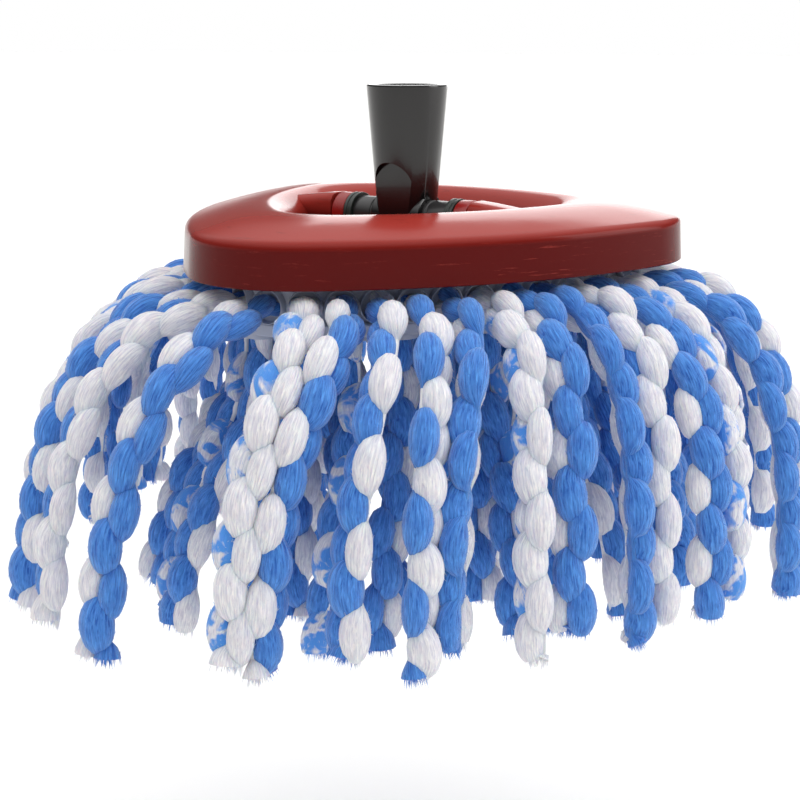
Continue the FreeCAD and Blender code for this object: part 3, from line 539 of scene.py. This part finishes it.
# ---------------------------------------------------------------- clamp ring and its screws
# A flat ring screwed under the refill ring. The second row of ropes and the inner row hang straight
# down from collars moulded on its underside.
OUTER_INSET, edge = 14, 0.4
clamp = skinned(bmesh.new(), [
    ring_loop(OUTER_INSET + edge, CLAMP_TOP), ring_loop(HOLE_INSET - edge, CLAMP_TOP),
    ring_loop(HOLE_INSET, CLAMP_TOP - edge), ring_loop(HOLE_INSET, CLAMP_FOOT + edge),
    ring_loop(HOLE_INSET - edge, CLAMP_FOOT), ring_loop(OUTER_INSET + edge, CLAMP_FOOT),
    ring_loop(OUTER_INSET, CLAMP_FOOT + edge), ring_loop(OUTER_INSET, CLAMP_TOP - edge)],
    closed=True)
second_places = [outline_station(20.0, (k + 0.5) / SECOND_ROPES) for k in range(SECOND_ROPES)]
inner_places = [outline_station(31.2, (k + 0.5) / INNER_PLACES) for k in range(INNER_PLACES)
                if k % SCREW_EVERY != SCREW_EVERY - 1]
for x, y, heading in second_places + inner_places:
    add_collar(clamp, x, y, CLAMP_FOOT, Vector((0, 0, -1)), 6.2, 1.6)
bmesh.ops.recalc_face_normals(clamp, faces=clamp.faces)
place_piece("clamp_moulding", clamp, satin, "refill", ["clamp_ring"])
clamp_places = [(*outline_station(29.0, (k + 0.5) / INNER_PLACES)[:2], CLAMP_FOOT)
                for k in range(SCREW_EVERY - 1, INNER_PLACES, SCREW_EVERY)]
place_piece("clamp_screw_set", pan_screws(clamp_places, 12.0), zinc, "refill",
            ["clamp_screws"])

# ---------------------------------------------------------------- yarns
# Popcorn microfibre: a fluffy roving is tied down by a fine binder thread every 25 mm, so it swells
# into bulbs between the ties. Fibres run along it, and the pile is matt with a soft sheen.
PLY_LENGTH = 150.0


def yarn(name, pale, pile_shade_colour, patches=None):
    """A yarn's material: streaks of fibre along it, painted shade down in the pile, patches of dye."""
    material, tree, shader = new_material(name, pale, Roughness=0.85, Sheen_Weight=0.35,
                                          Sheen_Roughness=0.45, Specular_IOR_Level=0.2,
                                          Subsurface_Weight=0.25, Subsurface_Scale=3.0 * MM)
    place = add_node(tree, "ShaderNodeUVMap", {"uv_map": "UVMap"})
    fibre_mm, curl_mm = 0.7, 5.0
    stretch = add_node(tree, "ShaderNodeMapping",
                       {"Scale": (PLY_LENGTH / curl_mm, 32.0 / fibre_mm, 1.0)},
                       {"Vector": place.outputs["UV"]})
    streak = add_node(tree, "ShaderNodeTexNoise", {"Scale": 1.0, "Detail": 6.0, "Roughness": 0.65,
                                                   "Distortion": 0.6},
                      {"Vector": stretch.outputs["Vector"]})
    # Painted shade: where the fibre streaks sink, the pale colour darkens towards the second colour,
    # shade painted into the pile.
    depth = add_node(tree, "ShaderNodeMapRange", {"From Min": 0.34, "From Max": 0.66},
                     {"Value": streak.outputs["Fac"]})
    shade = add_node(tree, "ShaderNodeMix", {"data_type": "RGBA", 6: linear(pile_shade_colour), 7: linear(pale)},
                     {0: depth.outputs["Result"]})
    colour = shade.outputs[2]
    if patches:
        patch_mm, dye = patches
        where = add_node(tree, "ShaderNodeMapping", {"Scale": (PLY_LENGTH / patch_mm, 3.0, 1.0)},
                         {"Vector": place.outputs["UV"]})
        blot = add_node(tree, "ShaderNodeTexNoise", {"Scale": 1.0, "Detail": 3.0, "Distortion": 1.0},
                        {"Vector": where.outputs["Vector"]})
        edge = add_node(tree, "ShaderNodeMapRange", {"From Min": 0.46, "From Max": 0.56},
                        {"Value": blot.outputs["Fac"]})
        dyed = add_node(tree, "ShaderNodeMix", {"data_type": "RGBA", 7: linear(dye)},
                        {0: edge.outputs["Result"], 6: colour})
        colour = dyed.outputs[2]
    tree.links.new(colour, shader.inputs["Base Color"])
    bump = add_node(tree, "ShaderNodeBump", {"Strength": 1.0, "Distance": 0.45 * MM},
                    {"Height": streak.outputs["Fac"]})
    tree.links.new(bump.outputs["Normal"], shader.inputs["Normal"])
    return material


# The second colour of each yarn is painted shade down in its pile, not a dye.
blue_yarn = yarn("microfibre_blue_popcorn", "#63a6f2", "#2459b4")
white_yarn = yarn("microfibre_white_popcorn", "#fffefd", "#c9c8d8")
mixed_yarn = yarn("microfibre_mixed_popcorn", "#fdfdfe", "#c4c6da", (9.0, "#569aec"))
binder, tree, shader = new_material("polyester_binder_thread", "#f7f5f2", Roughness=0.6,
                                    Sheen_Weight=0.2)
place = add_node(tree, "ShaderNodeTexCoord")
twist = add_node(tree, "ShaderNodeTexNoise", {"Scale": 1 / (0.5 * MM)},
                 {"Vector": place.outputs["Object"]})
bump = add_node(tree, "ShaderNodeBump", {"Strength": 0.6, "Distance": 0.1 * MM},
                {"Height": twist.outputs["Fac"]})
tree.links.new(bump.outputs["Normal"], shader.inputs["Normal"])
YARNS = [blue_yarn, white_yarn, mixed_yarn, binder]

# ---------------------------------------------------------------- rope routes
# Each rope leaves its flat or its collar, arches over and hangs by its own weight. Its runs are a
# length and a pitch in degrees; droop steepens a rope's lower runs and lean swings it sideways.
TOP_RUNS = [(19, 0), (20, 18), (21, 37), (26, 57), (30, 70)]
TOP_END_PITCH = 77
TOP_ENDS = [26, 30, 24, 28, 23, 30, 25, 27, 28, 24, 30, 26, 22, 29, 25, 30, 24, 27, 30, 25,
            29, 25, 30, 27, 24, 28, 22, 26, 20, 25, 18, 24, 17, 22, 16, 23, 18, 21, 17]
TOP_DROOP = [13, 12, 11, 10, 11, 10, 11, 12, 9, 11, 8, 10, 7, 9, 7, 8, 6, 7, 5, 6,
             7, 4, 6, 5, 7, 6, 8, 7, 9, 8, 10, 11, 12, 12, 14, 13, 15, 14, 15]
TOP_LEAN = [2, -1, 2, -2, 1, 0, -2, 2, -1, 3, -2, 1, -1, 3, -2, 1, -1, 1, -1, 0,
            -1, 3, -1, 2, -2, 1, 2, -1, 3, -3, 0, 2, -3, 2, -1, 3, -2, 1, -2]
SECOND_RUNS = [(18, 90), (18, 68), (22, 57), (24, 68), (23, 80)]
SECOND_DROOP = [3, -2, 2, 0, 3, -3, 1, 3, -1, 2, -3, 3, 0, -2, 3, 1, -3, 2, 0, 3,
                -2, 1, 3, -3, 2, 0, -1]
SECOND_LEAN = [3, -4, 2, 4, -3, 1, -4, 3, -2, 4, -1, 1, -1, 2, 3, -3, 1, 4, -2, -4,
               3, 0, -3, 4, -2, 3, -4]
TOP_SPREAD, SECOND_SPREAD = 45.0, 24.0
INNER_RUNS_OUT = [(32, 90), (34, 79), (32, 84)]
INNER_RUNS_IN = [(32, 90), (34, 103), (31, 96)]


def route_of(x, y, z, heading, runs, spread=None, droop=0, lean=0):
    """The points of a rope's route in mm: spread is the point that its lower runs head for in plan."""
    points = [Vector((x, y, z))]
    aim = math.atan2(spread[1] - y, spread[0] - x) if spread else heading
    fan = math.remainder(aim - heading, math.tau)
    for i, (length, pitch) in enumerate(runs):
        fall = math.radians(pitch + droop * min(i, 2) / 2)
        swing = heading + fan * min(i, 3) / 3 + math.radians(lean * i)
        step = Vector((math.cos(fall) * math.cos(swing), math.cos(fall) * math.sin(swing),
                       -math.sin(fall)))
        points.append(points[-1] + step * length)
    return points


def read_route(points):
    """The rope's centreline in metres, read from a NURBS curve through its route's control points."""
    curve = bpy.data.curves.new("route", "CURVE")
    curve.dimensions = "3D"
    spline = curve.splines.new("NURBS")
    spline.points.add(len(points) - 1)
    for place, point in zip(spline.points, points):
        place.co = (*(point * MM), 1)
    spline.order_u = 3
    spline.use_endpoint_u = True
    spline.resolution_u = 16
    thing = bpy.data.objects.new("route", curve)
    bpy.context.scene.collection.objects.link(thing)
    mesh = bpy.data.meshes.new_from_object(
        thing.evaluated_get(bpy.context.evaluated_depsgraph_get()))
    line = [v.co.copy() for v in mesh.vertices]
    bpy.data.objects.remove(thing)
    return line


def evenly(line, step):
    """Points every step along a line of points, and its length."""
    lengths = [(b - a).length for a, b in zip(line, line[1:])]
    total = sum(lengths)
    count = max(2, round(total / step))
    result, way, i = [], 0.0, 0
    for n in range(count + 1):
        target = total * n / count
        while i < len(lengths) - 1 and way + lengths[i] < target:
            way += lengths[i]
            i += 1
        result.append(line[i].lerp(line[i + 1], min((target - way) / lengths[i], 1)))
    return result, total


# ---------------------------------------------------------------- ropes
# Three plies of popcorn yarn lie side by side with hardly any twist. One swells in front while the
# other two are tied, and then those two swell side by side, so one bulb and a pair show in turn.
PERIOD, BULB_SHARE = 25.0, 0.68
FRONT_R, SIDE_R, NECK_R = 5.2, 4.5, 1.1
SIDE_OFFSET, NECK_OFFSET = 3.7, 2.2
ROPE_WIDTH, ROOT_LENGTH, ROOT_SQUEEZE = 15.0, 24.0, 0.7
BINDER = 3


def make_rope(name, points, yarns, phase, seed, detail=1.0):
    """A rope as one object on its route: three plies, binder threads, stray fibres, a frayed end."""
    chance = random.Random(seed)
    line, length = evenly(read_route(points), 1.6 * MM / detail)
    curve = bpy.data.curves.new(name, "CURVE")
    curve.dimensions = "3D"
    curve.bevel_depth = MM
    curve.bevel_resolution = 2 if detail < 1 else 4
    curve.use_fill_caps = True
    for material in YARNS:
        curve.materials.append(material)
    across = (line[-1] - line[0]).cross(Vector((0, 0, 1))).normalized()
    frames = []
    for i, here in enumerate(line):
        along = (line[min(i + 1, len(line) - 1)] - line[max(i - 1, 0)]).normalized()
        across = (across - along * across.dot(along)).normalized()
        frames.append((here, along, across, across.cross(along)))
    turn = chance.choice((0.0, 0.0, 1.1, -1.1)) + chance.uniform(-0.3, 0.3)
    twist = chance.uniform(-0.9, 0.9)
    plies = []
    for k, kind in enumerate(yarns):
        shift = chance.uniform(-1.2, 1.2) + (PERIOD / 2 if k else 0) + phase * PERIOD / 4
        swell = [chance.uniform(0.88, 1.1) for _ in range(12)]
        spline = curve.splines.new("POLY")
        spline.points.add(len(line) - 1)
        spline.material_index = kind
        ply = []
        for i, (here, along, side, front) in enumerate(frames):
            way = length / MM * i / (len(line) - 1)
            cycle = (way + shift) / PERIOD
            bulge = max(0.0, 1 - ((cycle % 1 - 0.5) / (BULB_SHARE / 2)) ** 2) ** 0.56
            squeeze = ROOT_SQUEEZE + (1 - ROOT_SQUEEZE) * min(way / ROOT_LENGTH, 1.0)
            full = (SIDE_R if k else FRONT_R) * swell[int(cycle) % 12]
            radius = (NECK_R + (full - NECK_R) * bulge) * squeeze
            if k:
                aside = (3 - 2 * k) * (NECK_OFFSET + (SIDE_OFFSET - NECK_OFFSET) * bulge)
                ahead = -2.0 + 2.0 * bulge
            else:
                aside = 0.6 * math.sin(math.tau * cycle)
                ahead = -1.6 + 3.0 * bulge
            angle = turn + twist * i / len(line)
            offset = (side * (aside * math.cos(angle) - ahead * math.sin(angle))
                      + front * (aside * math.sin(angle) + ahead * math.cos(angle)))
            centre = here + offset * squeeze * MM
            spline.points[i].co = (*centre, 1)
            spline.points[i].radius = radius
            ply.append((centre, radius, bulge))
        plies.append((kind, ply))
    thing = bpy.data.objects.new(name + "_plies", curve)
    bpy.context.scene.collection.objects.link(thing)
    mesh = bpy.data.meshes.new_from_object(
        thing.evaluated_get(bpy.context.evaluated_depsgraph_get()))
    bpy.data.objects.remove(thing)
    bm = bmesh.new()
    bm.from_mesh(mesh)
    uv = bm.loops.layers.uv.verify()
    for face in bm.faces:
        bulges = [ply[min(round(loop[uv].uv.x * (len(line) - 1)), len(line) - 1)][2]
                  for loop in face.loops for kind, ply in plies if kind == face.material_index]
        if max(bulges) < 0.02:
            face.material_index = BINDER

    def whisker(root, tip, width, kind, at):
        """A stray fibre: one thin triangle, painted as the yarn that it comes from."""
        wide = (tip - root).orthogonal().normalized() * width * MM
        face = bm.faces.new([bm.verts.new(root - wide), bm.verts.new(root + wide), bm.verts.new(tip)])
        face.material_index = kind
        for loop in face.loops:
            loop[uv].uv = at

    for kind, ply in plies:
        for i in range(1, len(ply) - 1):
            centre, radius, bulge = ply[i]
            along = (ply[i + 1][0] - ply[i - 1][0]).normalized()
            side = along.orthogonal().normalized()
            up = along.cross(side)
            for _ in range(round(12 * detail * detail * bulge)):
                angle = chance.uniform(0, math.tau)
                out = side * math.cos(angle) + up * math.sin(angle)
                root = centre + out * radius * 0.97 * MM
                tip = root + (out * chance.uniform(0.15, 0.8) + along * chance.uniform(-1.8, 1.8)
                              + side * chance.uniform(-0.5, 0.5)) * MM
                whisker(root, tip, chance.uniform(0.05, 0.1), kind, (i / len(ply), angle / math.tau))
        centre, radius, _ = ply[-1]
        along = (ply[-1][0] - ply[-3][0]).normalized()
        side = along.orthogonal().normalized()
        up = along.cross(side)
        for _ in range(round(60 * detail)):
            angle = chance.uniform(0, math.tau)
            out = (side * math.cos(angle) + up * math.sin(angle)) * radius
            root = centre + out * chance.uniform(0, 0.9) * MM - along * 1.5 * MM
            tip = root + (along * chance.uniform(2.5, 5.5) + out * chance.uniform(0, 0.35)) * MM
            whisker(root, tip, chance.uniform(0.1, 0.25), kind, (chance.random(), chance.random()))
    bm.to_mesh(mesh)
    bm.free()
    mesh.shade_smooth()
    rope = bpy.data.objects.new(name, mesh)
    bpy.context.scene.collection.objects.link(rope)
    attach(rope, "refill")
    return rope, line, length


MIXES = [(0, 0, 1), (1, 0, 1), (0, 1, 0), (1, 2, 1), (0, 1, 0)]
BACK_MIXES = [(0, 0, 1), (0, 1, 0), (0, 0, 2)]
for k in range(TOP_ROPES):
    share = (k + 0.5) / TOP_ROPES
    x, y, heading = outline_station(DRUM_INSET, share)
    spread = outline_station(-TOP_SPREAD, share)
    runs = TOP_RUNS + [(TOP_ENDS[k], TOP_END_PITCH)]
    points = route_of(x, y, ROPE_LEVEL, heading, runs, spread, TOP_DROOP[k], TOP_LEAN[k])
    name = f"top_rope_{k + 1:02d}"
    rope, line, length = make_rope(name + "_yarn", points, MIXES[k % 5], k % 2, 100 + k)
    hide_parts(name)

HIDDEN_DETAIL = 0.7
second_groups = ["second_ropes_1", "second_ropes_2", "second_ropes_3"]
for k, (x, y, heading) in enumerate(second_places):
    spread = outline_station(-SECOND_SPREAD, (k + 0.5) / SECOND_ROPES)
    points = route_of(x, y, CLAMP_FOOT, heading, SECOND_RUNS, spread, SECOND_DROOP[k],
                      SECOND_LEAN[k])
    group = second_groups[3 * k // SECOND_ROPES]
    rope = make_rope(f"{group}_yarn_{k:02d}", points, BACK_MIXES[k % 3], k % 2, 300 + k,
                     HIDDEN_DETAIL)[0]
    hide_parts(group)
for k, (x, y, heading) in enumerate(inner_places):
    place = k % 3 + SCREW_EVERY * (k // 3)
    runs, group = ((INNER_RUNS_OUT, "inner_ropes_outward"),
                   (INNER_RUNS_IN, "inner_ropes_inward"))[place % 2]
    points = route_of(x, y, CLAMP_FOOT, heading, runs)
    rope = make_rope(f"{group}_yarn_{k:02d}", points, BACK_MIXES[k % 3], k % 2, 500 + k,
                     HIDDEN_DETAIL)[0]
    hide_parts(group)

# ---------------------------------------------------------------- studio
# A plain pale floor well below the hanging ropes, a bright soft surround behind and above, and the
# camera a little above the plate, level with the middle of the socket.
floor = bmesh.new()
bmesh.ops.create_grid(floor, x_segments=1, y_segments=1, size=30.0)
bmesh.ops.translate(floor, vec=(0, 0, -0.34), verts=floor.verts)
floor = loose_object("floor", floor)
paper, tree, shader = new_material("paper_backdrop", "#f6f5f3", Roughness=0.95,
                                   Specular_IOR_Level=0.1)
floor.data.materials.append(paper)

world = bpy.data.worlds.new("studio")
bpy.context.scene.world = world
world.use_nodes = True
tree = world.node_tree
look = add_node(tree, "ShaderNodeTexCoord")
height = add_node(tree, "ShaderNodeSeparateXYZ", None, {"Vector": look.outputs["Generated"]})
ceiling = add_node(tree, "ShaderNodeMapRange", {"From Min": 0.3, "From Max": 0.85, "To Min": 0.12,
                                                "To Max": 1.75}, {"Value": height.outputs["Z"]})
horizon = add_node(tree, "ShaderNodeMapRange", {"From Min": 0.04, "From Max": 0.06, "To Min": 1.0,
                                                "To Max": 0.0}, {"Value": height.outputs["Z"]})
glow = add_node(tree, "ShaderNodeMath", {"operation": "MAXIMUM"},
                {0: ceiling.outputs["Result"], 1: horizon.outputs["Result"]})
tree.nodes["Background"].inputs["Color"].default_value = (1, 1, 1, 1)
tree.links.new(glow.outputs["Value"], tree.nodes["Background"].inputs["Strength"])

camera_data = bpy.data.cameras.new("camera")
camera_data.lens = 69.3
camera_data.sensor_width = 36
camera_data.clip_start = 0.01
camera_data.clip_end = 50
camera = bpy.data.objects.new("camera", camera_data)
camera.location = (0.319, -0.460, 0.0162)
camera.rotation_euler = (math.radians(90 - 13.25), 0, math.radians(35))
bpy.context.scene.collection.objects.link(camera)
bpy.context.scene.camera = camera


def soft_light(name, place, aim, power, width):
    """A square soft box of that width at a place, turned to face aim."""
    data = bpy.data.lights.new(name, "AREA")
    data.energy = power
    data.size = width
    lamp = bpy.data.objects.new(name, data)
    lamp.location = place
    lamp.rotation_euler = (Vector(aim) - Vector(place)).to_track_quat("-Z", "Y").to_euler()
    bpy.context.scene.collection.objects.link(lamp)


soft_light("back_right_light", (-1.00, 2.20, 0.56), (0, 0, -0.05), 13, 1.3)
soft_light("right_light", (1.3, 0.7, 0.4), (0, 0, -0.08), 6, 0.8)
bpy.context.scene.view_settings.view_transform = "Standard"
